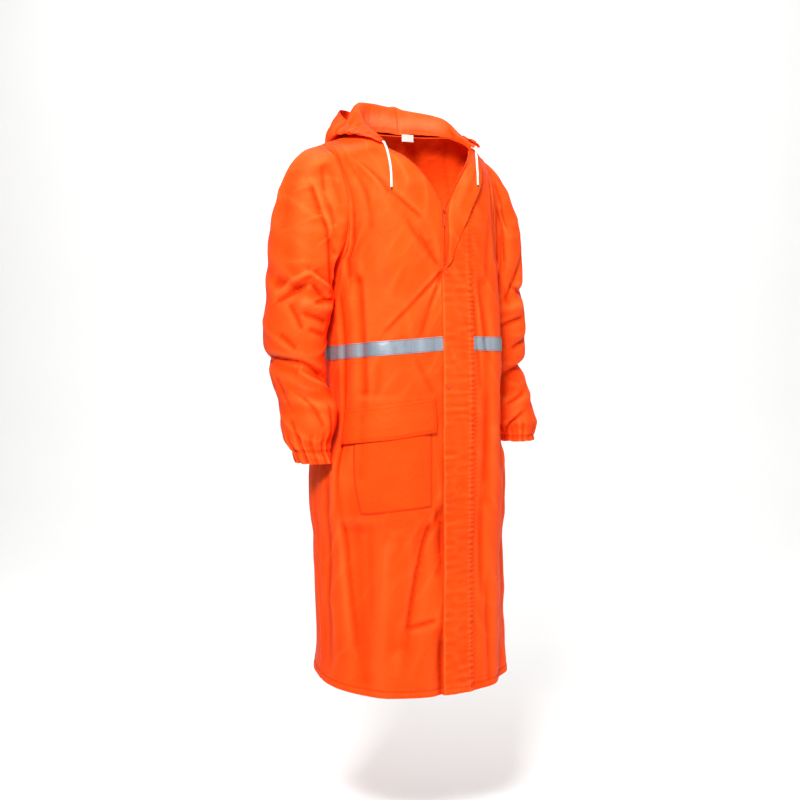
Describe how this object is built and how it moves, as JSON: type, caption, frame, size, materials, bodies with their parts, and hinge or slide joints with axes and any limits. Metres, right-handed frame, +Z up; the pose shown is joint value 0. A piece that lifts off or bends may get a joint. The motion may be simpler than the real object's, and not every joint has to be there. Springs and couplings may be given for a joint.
{
  "type": "hooded raincoat",
  "caption": "Long hooded raincoat of coated cloth, filled out as worn, with zip, storm flap, patch pocket, reflective tape and hood lying back.",
  "frame": {"origin": "inside the neck at shoulder level, on the middle plane, where the wearer carries the coat", "axes": "+Z up along the coat, -Y the way the front faces, +X to the wearer's left"},
  "size_m": [0.6309, 0.3792, 1.2628],
  "materials": {
    "coated_cloth": "semi-matt coating",
    "reflective_tape": "silver grey",
    "zip_plastic": "moulded",
    "snap_plastic": "moulded",
    "label_cloth": "woven",
    "cord_braid": "braided"
  },
  "bodies": {
    "coat": {"front_right": "coated_cloth", "front_left": "coated_cloth", "back": "coated_cloth", "sleeve_right": "coated_cloth", "sleeve_left": "coated_cloth", "hood_right": "coated_cloth", "hood_left": "coated_cloth", "storm_flap": "coated_cloth", "pocket": "coated_cloth", "pocket_flap": "coated_cloth", "tape_front_right": "reflective_tape", "tape_front_left": "reflective_tape", "tape_back": "reflective_tape", "zip_tape_right": "zip_plastic", "zip_tape_left": "zip_plastic", "zip_slider": "zip_plastic", "snap_1": "snap_plastic", "snap_2": "snap_plastic", "snap_3": "snap_plastic", "snap_4": "snap_plastic", "neck_label": "label_cloth", "drawcord_right": "cord_braid", "drawcord_left": "cord_braid"},
    "pull_tab": {"zip_pull": "zip_plastic"}
  },
  "joints": [
    {"name": "zip_pull_hinge", "type": "hinge", "parent": "coat", "child": "pull_tab", "pos_m": [0, -0.15388, -0.1508], "axis": [-1, 0, 0], "range_deg": [0, 150]}
  ]
}
